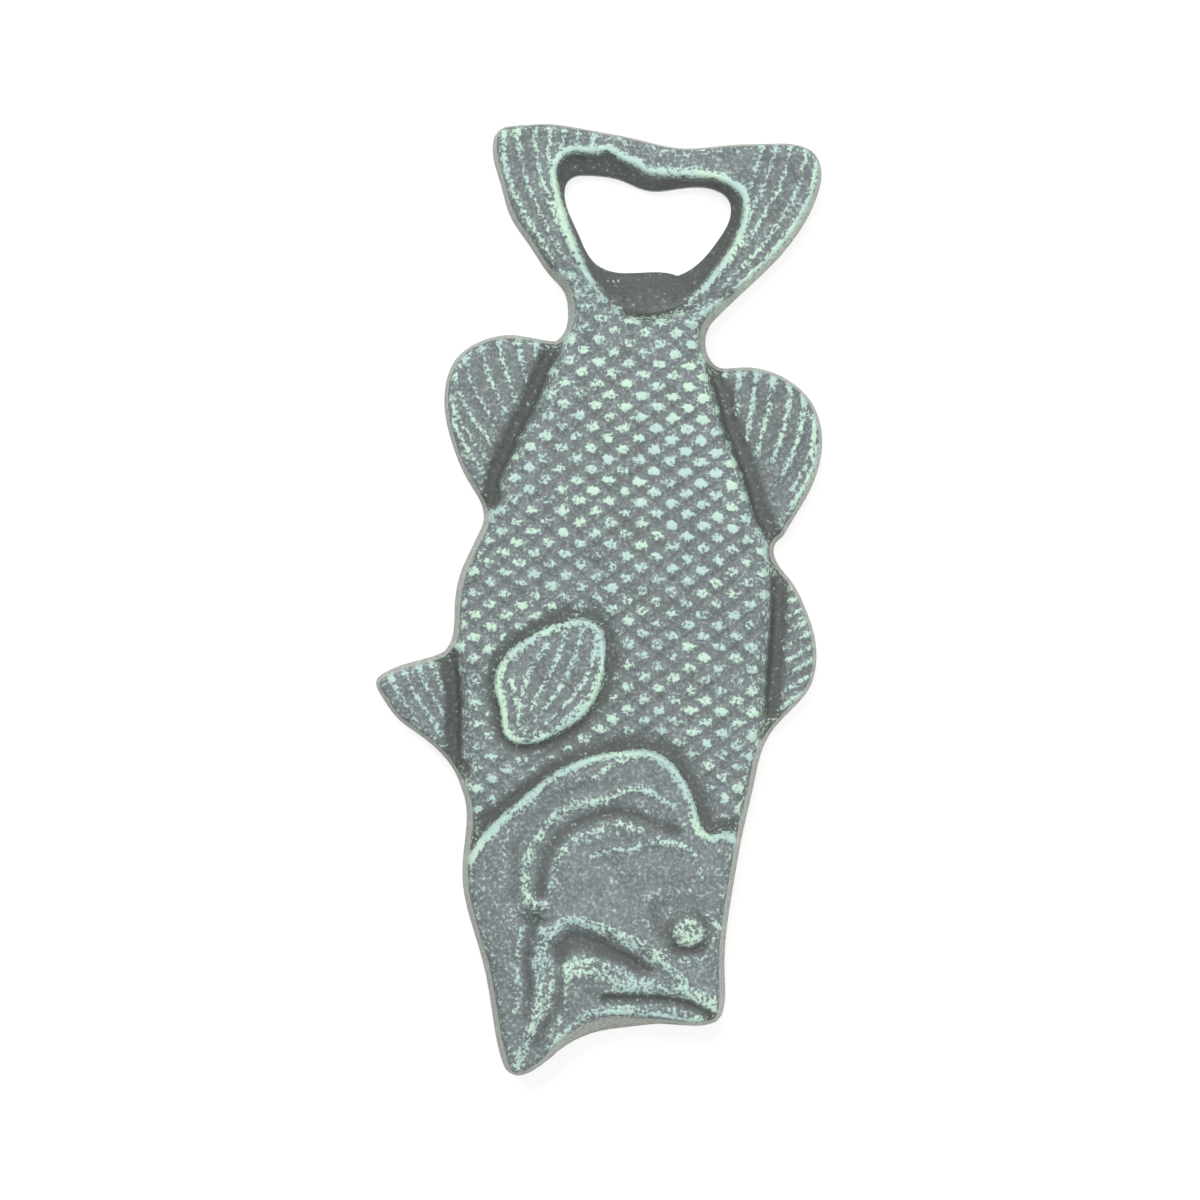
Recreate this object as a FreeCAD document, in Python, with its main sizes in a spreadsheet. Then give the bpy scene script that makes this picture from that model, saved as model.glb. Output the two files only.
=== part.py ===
"""Fish-shaped souvenir bottle opener: one flat-backed iron casting.

A bass hangs head down. Its tail fin is the opener: a through mouth with a tooth on the outer bar, a bevel round it
and a sloping rest that bears on the cap. The casting lies on its flat back at z = 0 with the relief facing +Z, its
tail towards +Y, its belly towards -X and its origin in the middle of its outline.

Sizes are in the spreadsheet "Sizes", in millimetres and degrees. The outlines are drawn by hand at DRAWN_LENGTH by
DRAWN_WIDTH and stretched to the sheet's overall length and width; the cap mouth is drawn at its own width and height
and keeps its own size, because it has to fit a standard crown cap.
"""

import FreeCAD, Part
import MeshPart
import math
import os

NODE = "fish_opener_casting"

# ---------------------------------------------------------------- sizes

SIZES = [
    # alias, value, what it is
    ("overall_length", 152.0, "jaw tip to tail corner, at the back face"),
    ("overall_width", 70.0, "pelvic fin tip to dorsal fin, at the back face"),
    ("plate_thickness", 5.5, "tail and fins, from the back face"),
    ("trunk_side_height", 8.2, "where the trunk's drafted side turns into its shoulder"),
    ("trunk_height", 11.6, "crown of the trunk above the back face"),
    ("crown_drop", 2.2, "how much lower the crown is at the trunk's sides"),
    ("draft_angle", 8.0, "pattern draft of every outer wall"),
    ("shoulder_inset", 2.4, "how far the trunk's shoulder leans in above its side"),
    ("parting_ledge", 0.25, "ledge between the plate's rim and the trunk's foot"),
    ("root_depth", 1.5, "how deep each raised piece of relief starts inside what carries it"),
    ("mouth_hollow", 1.9, "extra lean of the wall inside the fish's mouth"),
    ("cap_mouth_width", 26.6, "through opening, across"),
    ("cap_mouth_depth", 15.2, "through opening, from its floor to its shoulders"),
    ("cap_mouth_offset", 3.7, "centre of the opening, beside the middle line"),
    ("lip_bar_depth", 9.8, "tail's outer edge line to the middle of the opening's far edge"),
    ("lip_land", 2.2, "straight wall of the opening above the back face"),
    ("lip_bevel", 1.4, "how far the bevel round the opening reaches out"),
    ("cap_rest_radius", 14.8, "rim of the sloping rest, a crown cap's radius and some play"),
    ("cap_rest_foot_radius", 7.9, "foot of the sloping rest, at the opening's floor"),
    ("cap_rest_sweep", 130.0, "angle that the rest covers round the cap"),
    ("gill_cover_rise", 0.9, "gill cover above the trunk's crown"),
    ("pectoral_rise", 0.9, "pectoral fin above the trunk's crown"),
    ("relief_lean", 0.8, "how far the sides of the raised relief lean in"),
    ("eye_radius", 3.0, "eyeball, seen from the front"),
    ("eye_rise", 0.5, "eyeball above the trunk's crown"),
    ("jaw_groove_depth", 1.3, "pocket under the cheek"),
    ("lip_groove_depth", 0.8, "groove along the upper lip"),
    ("ray_groove_width", 0.9, "fin ray groove at its outer end"),
    ("ray_groove_depth", 0.5, "fin ray groove"),
]

# ---------------------------------------------------------------- outlines

DRAWN_LENGTH = 152.0
DRAWN_WIDTH = 70.0
DRAWN_MOUTH_WIDTH = 26.6
DRAWN_MOUTH_DEPTH = 15.2
TAIL_EDGE_Y = 76.0      # line through the tail fin's corners

# An outline is a list of runs, clockwise. Each run is one smooth curve from the last point of the run before it.
# Outer edge of the back face, from the tail's belly-side corner.
TAIL_EDGE = [(-20.4, 74.8), (-17.5, 75.5), (-13.0, 76.0), (-7.0, 75.5), (1.0, 74.5), (8.5, 73.4), (16.0, 74.4),
             (22.5, 75.0), (27.4, 75.0), (29.6, 74.1)]
TAIL_BACK_ARM = [(31.0, 71.4), (30.7, 67.5), (28.6, 62.2), (25.4, 57.3), (21.6, 53.0), (18.0, 49.2), (15.3, 46.2)]
SOFT_DORSAL_FIN = [(14.2, 43.4), (14.8, 40.5), (16.4, 38.9), (19.5, 39.0), (24.0, 38.9), (28.0, 37.4), (31.4, 34.6),
                   (33.4, 30.6), (33.8, 26.4), (32.9, 21.7), (30.8, 17.0), (28.4, 12.4)]
SPINY_DORSAL_FIN = [(27.1, 10.1), (27.7, 8.4), (30.3, 5.4), (32.7, 1.4), (34.4, -2.8), (35.0, -7.0), (34.2, -11.3),
                    (31.6, -14.9), (29.0, -18.0)]
HEAD_BACK_SIDE = [(27.2, -21.8), (26.2, -27.5), (25.1, -34.0), (24.0, -43.0), (23.3, -51.0), (23.4, -57.5),
                  (23.7, -62.5), (23.1, -65.1)]
FISH_MOUTH = [(21.0, -66.1), (15.0, -66.3), (9.0, -67.1), (3.5, -68.3), (-0.4, -70.2), (-3.4, -72.8)]
JAW_TIP = [(-6.2, -75.1), (-8.5, -76.0), (-10.8, -74.8)]
HEAD_BELLY_SIDE = [(-12.1, -71.2), (-13.5, -65.0), (-15.3, -58.0), (-17.5, -52.0), (-19.1, -46.5), (-19.4, -41.0),
                   (-19.2, -35.5), (-20.4, -30.6)]
PELVIC_FIN = [(-23.0, -26.3), (-27.0, -23.0), (-31.0, -20.4), (-34.0, -16.8), (-35.0, -14.5), (-33.3, -12.8),
              (-28.5, -10.8), (-24.4, -9.1)]
BELLY = [(-23.4, -7.2), (-23.2, -2.0), (-22.6, 3.5), (-21.0, 7.8), (-19.5, 11.6)]
ANAL_FIN = [(-19.6, 13.9), (-22.2, 18.2), (-24.9, 23.4), (-26.6, 28.8), (-26.8, 33.4), (-25.4, 37.6), (-21.6, 40.7),
            (-16.5, 42.0), (-12.6, 41.6), (-9.7, 41.4)]
TAIL_BELLY_ARM = [(-8.3, 43.2), (-8.0, 46.4), (-8.8, 49.3), (-11.2, 51.8), (-14.6, 56.2), (-18.2, 61.0),
                  (-20.0, 66.0), (-21.5, 70.5), (-21.5, 73.2)]
SILHOUETTE = [TAIL_EDGE, TAIL_BACK_ARM, SOFT_DORSAL_FIN, SPINY_DORSAL_FIN, HEAD_BACK_SIDE, FISH_MOUTH, JAW_TIP,
              HEAD_BELLY_SIDE, PELVIC_FIN, BELLY, ANAL_FIN, TAIL_BELLY_ARM]

# Share of the mouth hollow that each point of FISH_MOUTH takes.
HOLLOW_SHARES = [0.0, 0.45, 0.9, 1.0, 0.8, 0.2]

# Foot of the raised trunk where fins hide the silhouette; elsewhere the foot follows the silhouette.
TRUNK_END = [(-6.0, 48.4), (-2.5, 50.2), (3.0, 51.0), (8.0, 50.4), (11.8, 48.6)]
TRUNK_UNDER_SOFT_DORSAL = [(13.2, 45.6), (13.1, 43.2), (14.0, 39.8), (16.0, 35.6), (18.0, 30.4), (20.4, 25.0),
                           (22.8, 18.8), (24.8, 12.8)]
TRUNK_UNDER_SPINY_DORSAL = [(26.0, 7.0), (26.8, 0.5), (27.0, -6.0), (26.8, -13.0), (26.5, -18.0)]
TRUNK_UNDER_PELVIC = [(-20.7, -25.6), (-21.4, -20.0), (-21.9, -14.0), (-22.2, -9.2)]
TRUNK_UNDER_ANAL = [(-18.2, 14.2), (-16.8, 20.0), (-15.2, 25.2), (-12.9, 31.0), (-10.6, 37.0), (-8.6, 40.8),
                    (-7.1, 43.8), (-6.9, 46.2)]

# Raised and sunk relief on the trunk.
GILL_COVER = [
    [(-15.4, -37.2), (-11.6, -32.2), (-6.0, -27.4), (0.5, -23.6), (7.5, -22.0), (12.4, -23.4), (15.4, -27.0)],
    [(17.2, -31.8), (17.0, -38.0), (12.0, -43.4), (2.0, -47.6), (-8.0, -49.6), (-14.0, -47.4), (-16.2, -42.0)],
]
PECTORAL_FIN = [
    [(-13.6, -7.2), (-9.6, -4.4), (-5.0, -2.5), (-1.0, -2.5), (1.1, -4.4)],
    [(1.7, -8.6), (1.5, -13.4), (-0.8, -18.2), (-5.0, -21.6), (-10.2, -23.2)],
    [(-13.8, -22.4), (-14.9, -18.8), (-16.0, -15.2), (-15.9, -11.0)],
]
JAW_POCKET = [
    [(-2.0, -51.0), (1.6, -50.9), (6.0, -52.8), (10.4, -55.4), (12.6, -57.6)],
    [(9.4, -58.1), (4.6, -56.7), (0.0, -56.5), (-2.6, -57.4), (-3.4, -53.4)],
]
LIP_GROOVE = [
    [(8.0, -61.5), (13.0, -61.2), (18.0, -62.2), (21.2, -64.3)],
    [(17.0, -63.5), (12.0, -62.9), (8.0, -63.0), (5.4, -62.6)],
]
EYE_CENTRE = (16.6, -51.2)

# Opening for the cap, drawn about its own centre: floor and belly side, far edge with its tooth, and back side.
CAP_MOUTH = [
    [(0.0, -7.6), (-6.2, -7.5), (-7.6, -6.8), (-11.0, -1.7), (-13.2, 3.0), (-13.2, 5.8), (-11.2, 7.3)],
    [(-8.0, 7.4), (-4.4, 6.9), (-1.4, 5.8), (0.8, 5.5), (3.6, 5.9), (7.8, 6.6), (11.4, 6.0)],
    [(13.2, 3.9), (13.1, 1.6), (11.6, -1.6), (8.0, -6.2), (5.4, -7.8)],
]
MOUTH_TOOTH_Y = 5.5     # tooth tip in that drawing

# Fin rays: where the fan starts, first and last direction in degrees, number of grooves, inner and outer end.
RAY_FANS = {
    "tail_belly_arm_rays": ((3.0, 36.0), (121.5, 131.5), 4, (20.0, 33.0)),
    "tail_back_arm_rays": ((3.0, 36.0), (49.5, 58.0), 4, (21.5, 37.0)),
    "anal_fin_rays": ((-6.0, 17.0), (112.0, 152.0), 6, (14.0, 21.5)),
    "soft_dorsal_rays": ((16.0, -20.0), (70.0, 82.0), 5, (47.0, 54.5)),
    "spiny_dorsal_rays": ((-6.0, -33.0), (33.0, 44.5), 5, (44.5, 47.5)),
    "pelvic_fin_rays": ((-17.0, -30.0), (118.0, 133.0), 2, (13.0, 17.0)),
}

# Mesh that volumes are compared on: largest distance in millimetres and largest turn in radians from the surface.
MESH_DEFLECTION = 0.03
MESH_TURN = 0.3

# How an outline that is moved inwards is held back at its tips.
TIP_SHARE = 0.45
TIP_EASE = 0.25


# ---------------------------------------------------------------- document and sheet

def make_sheet(doc):
    """Spreadsheet with one aliased cell for each size, and its meaning beside it."""
    sheet = doc.addObject("Spreadsheet::Sheet", "Sizes")
    for row, (alias, value, meaning) in enumerate(SIZES, start=1):
        sheet.set(f"A{row}", alias)
        sheet.set(f"B{row}", str(value))
        sheet.set(f"C{row}", meaning)
        sheet.setAlias(f"B{row}", alias)
    doc.recompute()
    return sheet


def origin_plane(body, role):
    """One of the body's own origin planes, such as XY_Plane."""
    return [f for f in body.Origin.OriginFeatures if f.Role == role][0]


# ---------------------------------------------------------------- outline arithmetic

def stretched(outline, sheet):
    """Drawn outline at the sheet's overall width and length."""
    across = sheet.overall_width / DRAWN_WIDTH
    along = sheet.overall_length / DRAWN_LENGTH
    return [[(x * across, y * along) for x, y in run] for run in outline]


def inset(outline, distance, extra=None):
    """Outline moved inwards: by a distance, and by more where extra gives a run a distance for each point.

    At a tip the move is held to TIP_SHARE of the tip's own radius, and it grows away from there by no more than
    TIP_EASE of the way along, so that the outline never crosses itself.
    """
    points = [point for run in outline for point in run]
    previous = points[-1:] + points[:-1]
    following = points[1:] + points[:1]
    reaches = []
    for index, run in enumerate(outline):
        reaches += [distance + add for add in (extra or {}).get(index, [0.0] * len(run))]
    radii = [tip_radius(*near) for near in zip(previous, points, following)]
    limits = [min(reach, TIP_SHARE * radius) for reach, radius in zip(reaches, radii)]
    moved = []
    for step, (x, y) in enumerate(points):
        before, after = previous[step], following[step]
        from_before = limits[step - 1] + TIP_EASE * math.dist(before, (x, y))
        from_after = limits[(step + 1) % len(points)] + TIP_EASE * math.dist(after, (x, y))
        share = min(limits[step], from_before, from_after) / math.dist(before, after)
        moved.append((x + (after[1] - before[1]) * share, y - (after[0] - before[0]) * share))
    pieces = iter(moved)
    return [[next(pieces) for _ in run] for run in outline]


def tip_radius(before, point, after):
    """Radius of a clockwise outline where it bulges outwards at a point, or endless where it does not."""
    first = (point[0] - before[0], point[1] - before[1])
    second = (after[0] - point[0], after[1] - point[1])
    cross = first[0] * second[1] - first[1] * second[0]
    turn = math.atan2(-cross, first[0] * second[0] + first[1] * second[1])
    if turn <= 0:
        return math.inf
    return (math.hypot(*first) + math.hypot(*second)) / 2 / turn


def draft_lean(sheet, height):
    """How far a drafted wall leans in over a height."""
    return height * math.tan(math.radians(sheet.draft_angle))


def plate_rim(sheet):
    """Edge of the plate's front face: the silhouette, in by the draft and by the hollow of the fish's mouth."""
    hollow = {SILHOUETTE.index(FISH_MOUTH): [sheet.mouth_hollow * share for share in HOLLOW_SHARES]}
    return inset(stretched(SILHOUETTE, sheet), draft_lean(sheet, sheet.plate_thickness), hollow)


def trunk_foot(sheet):
    """Foot of the trunk at the plate's front face: just inside the plate's rim, and drawn where fins carry on."""
    rim = inset(plate_rim(sheet), sheet.parting_ledge)
    head = rim[SILHOUETTE.index(HEAD_BACK_SIDE):SILHOUETTE.index(HEAD_BELLY_SIDE) + 1]
    belly = rim[SILHOUETTE.index(BELLY)]
    back_side = stretched([TRUNK_END, TRUNK_UNDER_SOFT_DORSAL, TRUNK_UNDER_SPINY_DORSAL], sheet)
    pelvic, anal = stretched([TRUNK_UNDER_PELVIC, TRUNK_UNDER_ANAL], sheet)
    return back_side + head + [pelvic, belly, anal]


def mouth_centre(sheet):
    """Middle of the cap mouth: the lip bar's depth in from the tail's edge line, and beside the middle line."""
    edge = TAIL_EDGE_Y * sheet.overall_length / DRAWN_LENGTH
    tooth = MOUTH_TOOTH_Y * sheet.cap_mouth_depth / DRAWN_MOUTH_DEPTH
    return sheet.cap_mouth_offset, edge - sheet.lip_bar_depth - tooth


def mouth_outline(sheet):
    """Cap mouth at its own width and depth, about its centre."""
    across = sheet.cap_mouth_width / DRAWN_MOUTH_WIDTH
    along = sheet.cap_mouth_depth / DRAWN_MOUTH_DEPTH
    middle_x, middle_y = mouth_centre(sheet)
    return [[(middle_x + x * across, middle_y + y * along) for x, y in run] for run in CAP_MOUTH]


# ---------------------------------------------------------------- sketches

def new_sketch(body, name, height, plane="XY_Plane"):
    """Empty sketch on an origin plane of the body, raised to a height given as an expression."""
    sketch = body.newObject("Sketcher::SketchObject", name)
    sketch.AttachmentSupport = [(origin_plane(body, plane), "")]
    sketch.MapMode = "FlatFace"
    if height:
        sketch.setExpression("AttachmentOffset.Base.z", height)
    return sketch


def knots(points):
    """Length run along a row of points, up to each of them: the curve through them is timed by it."""
    run = [0.0]
    for (x, y), (next_x, next_y) in zip(points, points[1:]):
        run.append(run[-1] + math.hypot(next_x - x, next_y - y))
    return run


def outline_sketch(body, name, outline, height, timed_by=None):
    """Sketch that holds a closed outline, with one smooth curve for each of its runs.

    Sections of one loft are all timed by the first of them, so that its walls run straight from point to point.
    """
    sketch = new_sketch(body, name, height)
    timed_by = timed_by or outline
    for index, run in enumerate(outline):
        points = [outline[index - 1][-1]] + run
        times = knots([timed_by[index - 1][-1]] + timed_by[index])
        curve = Part.BSplineCurve()
        curve.interpolate(Points=[FreeCAD.Vector(x, y, 0) for x, y in points], Parameters=times)
        sketch.addGeometry(curve, False)
    return sketch


def add_polygon(sketch, points):
    """Closed run of straight lines in a sketch."""
    corners = [FreeCAD.Vector(x, y, 0) for x, y in points]
    for start, end in zip(corners, corners[1:] + corners[:1]):
        sketch.addGeometry(Part.LineSegment(start, end), False)


def loft(body, kind, name, sections):
    """Straight-sided loft through sketches, added to the body or cut from it."""
    feature = body.newObject("PartDesign::" + kind, name)
    feature.Profile = sections[0]
    feature.Sections = sections[1:]
    feature.Ruled = True
    return feature


# ---------------------------------------------------------------- features

def add_plate(body, sheet):
    """Whole silhouette as a drafted plate: tail, fins and the ground under the trunk."""
    outline = stretched(SILHOUETTE, sheet)
    back = outline_sketch(body, "silhouette_back", outline, None)
    front = outline_sketch(body, "silhouette_front", plate_rim(sheet), "Sizes.plate_thickness", outline)
    return loft(body, "AdditiveLoft", "plate", [back, front])


def add_trunk(body, sheet):
    """Raised trunk and head: a drafted side, then a shoulder that leans in to the crown's height."""
    foot = trunk_foot(sheet)
    root = inset(foot, -draft_lean(sheet, sheet.root_depth))
    side = inset(foot, draft_lean(sheet, sheet.trunk_side_height - sheet.plate_thickness))
    sections = [
        outline_sketch(body, "trunk_root", root, "Sizes.plate_thickness - Sizes.root_depth"),
        outline_sketch(body, "trunk_side", side, "Sizes.trunk_side_height", root),
        outline_sketch(body, "trunk_shoulder", inset(side, sheet.shoulder_inset), "Sizes.trunk_height", root),
    ]
    return loft(body, "AdditiveLoft", "trunk", sections)


def cut_crown(body, sheet):
    """Rounds the trunk across its width: everything above an arc from side to side is taken away."""
    sketch = new_sketch(body, "crown_section", None, "XZ_Plane")
    half = sheet.overall_width / 2
    low, high = sheet.trunk_height - sheet.crown_drop, sheet.trunk_height
    above = high + sheet.trunk_height
    start, top, end = (FreeCAD.Vector(-half, low, 0), FreeCAD.Vector(0, high, 0), FreeCAD.Vector(half, low, 0))
    sketch.addGeometry(Part.Arc(start, top, end), False)
    upper_right, upper_left = FreeCAD.Vector(half, above, 0), FreeCAD.Vector(-half, above, 0)
    for a, b in ((end, upper_right), (upper_right, upper_left), (upper_left, start)):
        sketch.addGeometry(Part.LineSegment(a, b), False)
    pocket = body.newObject("PartDesign::Pocket", "crown")
    pocket.Profile = sketch
    pocket.Type = 1         # through all
    pocket.Midplane = True
    return pocket


def add_relief(body, sheet, name, drawn, rise):
    """Raised patch of relief on the trunk, with sides that lean in."""
    outline = stretched(drawn, sheet)
    root = outline_sketch(body, name + "_root", outline, "Sizes.trunk_height - Sizes.crown_drop - Sizes.root_depth")
    top = outline_sketch(body, name + "_top", inset(outline, sheet.relief_lean),
                         f"Sizes.trunk_height + Sizes.{rise}", outline)
    return loft(body, "AdditiveLoft", name, [root, top])


def add_eye(body, sheet):
    """Eyeball: an ellipsoid whose middle lies inside the cheek."""
    eye = body.newObject("PartDesign::AdditiveEllipsoid", "eye")
    eye.AttachmentSupport = [(origin_plane(body, "XY_Plane"), "")]
    eye.MapMode = "FlatFace"
    x, y = stretched([[EYE_CENTRE]], sheet)[0][0]
    eye.AttachmentOffset = FreeCAD.Placement(FreeCAD.Vector(x, y, 0), FreeCAD.Rotation())
    eye.setExpression("AttachmentOffset.Base.z", "Sizes.trunk_height - Sizes.crown_drop")
    eye.setExpression("Radius1", "Sizes.crown_drop + Sizes.eye_rise")
    eye.setExpression("Radius2", "Sizes.eye_radius")
    eye.setExpression("Radius3", "Sizes.eye_radius")
    return eye


def cut_patch(body, sheet, name, drawn, depth):
    """Pocket of a given depth below the crown, open to the front."""
    top = "Sizes.trunk_height + Sizes.gill_cover_rise"
    sketch = outline_sketch(body, name + "_outline", stretched(drawn, sheet), top)
    pocket = body.newObject("PartDesign::Pocket", name)
    pocket.Profile = sketch
    pocket.Type = 0         # by length
    pocket.setExpression("Length", f"Sizes.gill_cover_rise + Sizes.crown_drop / 2 + Sizes.{depth}")
    return pocket


def cut_cap_mouth(body, sheet):
    """Through opening for the cap's edge, with the tooth in its far side."""
    sketch = outline_sketch(body, "cap_mouth_outline", mouth_outline(sheet), None)
    pocket = body.newObject("PartDesign::Pocket", "cap_mouth")
    pocket.Profile = sketch
    pocket.Type = 1         # through all
    pocket.Reversed = True
    return pocket


def cut_lip_bevel(body, sheet):
    """Bevel round the opening from its straight land out to the plate's front face, and on to the trunk's height."""
    outline = mouth_outline(sheet)
    slope = sheet.lip_bevel / (sheet.plate_thickness - sheet.lip_land)
    reach = slope * (sheet.trunk_height - sheet.lip_land)
    low = outline_sketch(body, "lip_bevel_foot", outline, "Sizes.lip_land")
    high = outline_sketch(body, "lip_bevel_rim", inset(outline, -reach), "Sizes.trunk_height", outline)
    return loft(body, "SubtractiveLoft", "lip_bevel", [low, high])


def cut_cap_rest(body, sheet):
    """Sloping rest between trunk and opening: a cone about the cap's axis, swept over the trunk's side of it."""
    middle_x, middle_y = mouth_centre(sheet)
    sketch = new_sketch(body, "cap_rest_section", None, "YZ_Plane")
    floor = sheet.lip_land
    rise = sheet.trunk_height - floor
    slope = (sheet.cap_rest_radius - sheet.cap_rest_foot_radius) / (sheet.trunk_height - sheet.crown_drop - floor)
    foot = middle_y - sheet.cap_rest_foot_radius
    rim = foot - slope * rise
    add_polygon(sketch, [(middle_y, floor), (foot, floor), (rim, sheet.trunk_height), (middle_y, sheet.trunk_height)])
    sketch.AttachmentOffset = FreeCAD.Placement(FreeCAD.Vector(0, 0, middle_x), FreeCAD.Rotation())
    axis = Part.LineSegment(FreeCAD.Vector(middle_y, floor, 0), FreeCAD.Vector(middle_y, sheet.trunk_height, 0))
    sketch.addGeometry(axis, True)
    groove = body.newObject("PartDesign::Groove", "cap_rest")
    groove.Profile = sketch
    groove.ReferenceAxis = (sketch, ["Axis0"])
    groove.Midplane = True
    groove.setExpression("Angle", "Sizes.cap_rest_sweep")
    return groove


def cut_rays(body, sheet, name, fan):
    """Fan of wedge-shaped grooves in the plate's front face, narrow at the fin's root."""
    (origin_x, origin_y), (first, last), count, (inner, outer) = fan
    sketch = new_sketch(body, name + "_outline", "Sizes.plate_thickness")
    half = sheet.ray_groove_width / 2
    for i in range(count):
        turn = math.radians(first + (last - first) * i / (count - 1))
        along, beside = (math.cos(turn), math.sin(turn)), (-math.sin(turn), math.cos(turn))
        wedge = []
        for reach, side in ((inner, -half / 2), (outer, -half), (outer, half), (inner, half / 2)):
            wedge.append((origin_x + reach * along[0] + side * beside[0],
                          origin_y + reach * along[1] + side * beside[1]))
        add_polygon(sketch, stretched([wedge], sheet)[0])
    pocket = body.newObject("PartDesign::Pocket", name)
    pocket.Profile = sketch
    pocket.Type = 0         # by length
    pocket.setExpression("Length", "Sizes.ray_groove_depth")
    return pocket


# ---------------------------------------------------------------- assembly and export

def make_casting(doc, sheet):
    """The casting's features in order; each is checked to change the solid the way that it should."""
    body = doc.addObject("PartDesign::Body", NODE)
    body.Label = NODE
    steps = [
        (+1, add_plate, ()),
        (+1, add_trunk, ()),
        (-1, cut_crown, ()),
        (+1, add_relief, ("gill_cover", GILL_COVER, "gill_cover_rise")),
        (+1, add_relief, ("pectoral_fin", PECTORAL_FIN, "pectoral_rise")),
        (+1, add_eye, ()),
        (-1, cut_patch, ("jaw_pocket", JAW_POCKET, "jaw_groove_depth")),
        (-1, cut_patch, ("lip_groove", LIP_GROOVE, "lip_groove_depth")),
        (-1, cut_cap_mouth, ()),
        (-1, cut_lip_bevel, ()),
        (-1, cut_cap_rest, ()),
    ]
    steps += [(-1, cut_rays, (name, fan)) for name, fan in RAY_FANS.items()]
    volume = 0.0
    for sign, make, arguments in steps:
        feature = make(body, sheet, *arguments)
        doc.recompute()
        check_state(doc)
        change = mesh_volume(feature.Shape) - volume
        if change * sign <= 0:
            raise RuntimeError(f"{feature.Label} changes the volume by {change:.1f} cubic mm")
        volume += change
        print(f"{feature.Label}: {change:+.1f} cubic mm")
    return body


def mesh_volume(shape):
    """Volume of a shape's mesh, which small features change more surely than they change the summed faces."""
    return MeshPart.meshFromShape(Shape=shape, LinearDeflection=MESH_DEFLECTION, AngularDeflection=MESH_TURN).Volume


def check_state(doc):
    """Stops at any object that did not compute."""
    for item in doc.Objects:
        if "Invalid" in item.State or "Error" in item.State:
            raise RuntimeError(f"{item.Label} did not compute: {item.State}")


def export(body):
    """Writes the casting's shape as its node's STEP file."""
    shape = body.Shape
    if shape.isNull() or not shape.isValid() or len(shape.Solids) != 1:
        raise RuntimeError(f"{body.Label} is not one valid solid")
    os.makedirs("parts", exist_ok=True)
    shape.exportStep(os.path.join("parts", body.Label + ".step"))
    box = shape.BoundBox
    print(f"{body.Label}: {shape.Volume / 1000:.1f} cubic cm, x {box.XMin:.2f} to {box.XMax:.2f}, "
          f"y {box.YMin:.2f} to {box.YMax:.2f}, z {box.ZMin:.2f} to {box.ZMax:.2f}")


def main():
    doc = FreeCAD.newDocument("fish_bottle_opener")
    sheet = make_sheet(doc)
    body = make_casting(doc, sheet)
    export(body)


main()
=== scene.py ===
"""Looks of the fish bottle opener: a cast iron bass, head down, whose tail fin opens crown caps.

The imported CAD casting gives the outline, the cap mouth and the height. One mesh stands for it: a height field
z(x, y) over the inside of that outline, drafted walls down to the flat back, and the back. Known fault: the
back is only partly filled, so the mesh is not closed there. The relief is summed from fins, rays, scales, gill
plates, jaw and eye, each a short function of x and y in millimetres. The metal is dark iron paint with
verdigris dry-brushed on what stands proud.
"""

import math

import bmesh
import bpy
import numpy as np
from mathutils import Matrix, Vector


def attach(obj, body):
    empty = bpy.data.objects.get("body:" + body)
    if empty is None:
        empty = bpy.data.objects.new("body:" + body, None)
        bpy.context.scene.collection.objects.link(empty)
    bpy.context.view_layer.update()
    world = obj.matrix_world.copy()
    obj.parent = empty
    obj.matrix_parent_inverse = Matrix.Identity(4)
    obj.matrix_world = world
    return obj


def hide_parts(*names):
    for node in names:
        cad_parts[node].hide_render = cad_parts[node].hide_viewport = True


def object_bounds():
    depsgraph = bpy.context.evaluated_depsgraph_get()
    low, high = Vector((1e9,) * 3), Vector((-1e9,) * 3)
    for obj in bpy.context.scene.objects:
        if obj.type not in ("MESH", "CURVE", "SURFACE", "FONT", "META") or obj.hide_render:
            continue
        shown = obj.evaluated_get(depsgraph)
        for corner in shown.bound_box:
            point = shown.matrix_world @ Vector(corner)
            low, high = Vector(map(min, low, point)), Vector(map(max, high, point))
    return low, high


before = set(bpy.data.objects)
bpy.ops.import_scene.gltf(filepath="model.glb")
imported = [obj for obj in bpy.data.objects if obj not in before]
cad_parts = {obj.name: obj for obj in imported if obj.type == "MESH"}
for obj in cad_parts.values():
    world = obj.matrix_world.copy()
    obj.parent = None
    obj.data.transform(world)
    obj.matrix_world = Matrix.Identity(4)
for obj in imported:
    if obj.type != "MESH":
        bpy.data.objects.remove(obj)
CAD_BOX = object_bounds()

CASTING = "fish_opener_casting"
MM = 0.001

# White card: half its side and its gap below the casting, in metres, and the share that shows as plain white.
CARD_HALF = 1.5
CARD_GAP = 0.0002
CARD_GLOW = 0.72
ROOM_LIGHT = 0.45

# ---------------------------------------------------------------- sizes, mm

PITCH = 0.34                # grid of the front surface
SNAP = 0.32                 # a grid point this share of the pitch from the rim moves onto it
DRAFT = math.tan(math.radians(8.0))
RIM_RADIUS = 0.75           # rounding where the front turns into the wall
MOUTH_RADIUS = 0.35         # the same round the cap mouth
WALL_RINGS = 7
BLUR_FINE = 0.7             # how far paint looks round a point to tell a crest from a hollow
BLUR_WIDE = 2.2

FIN_HEIGHT = 5.3
TAIL_HEIGHT = 6.2
TRUNK_EDGE_HEIGHT = 8.3
TRUNK_RISE = 2.9
TRUNK_HALF_WIDTH = 19.0
MOUTH_FLOOR = 2.6           # land round the cap mouth, above the back

FRAME_WIDTH = 190.2         # what the camera sees at the casting
CAMERA_ROLL = 3.5           # degrees
AIM_UP, AIM_LEFT = 0.61, 0.05

SCALE_PITCH_X = 4.85
SCALE_PITCH_Y = 3.4
SCALE_RISE = 0.34

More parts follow.
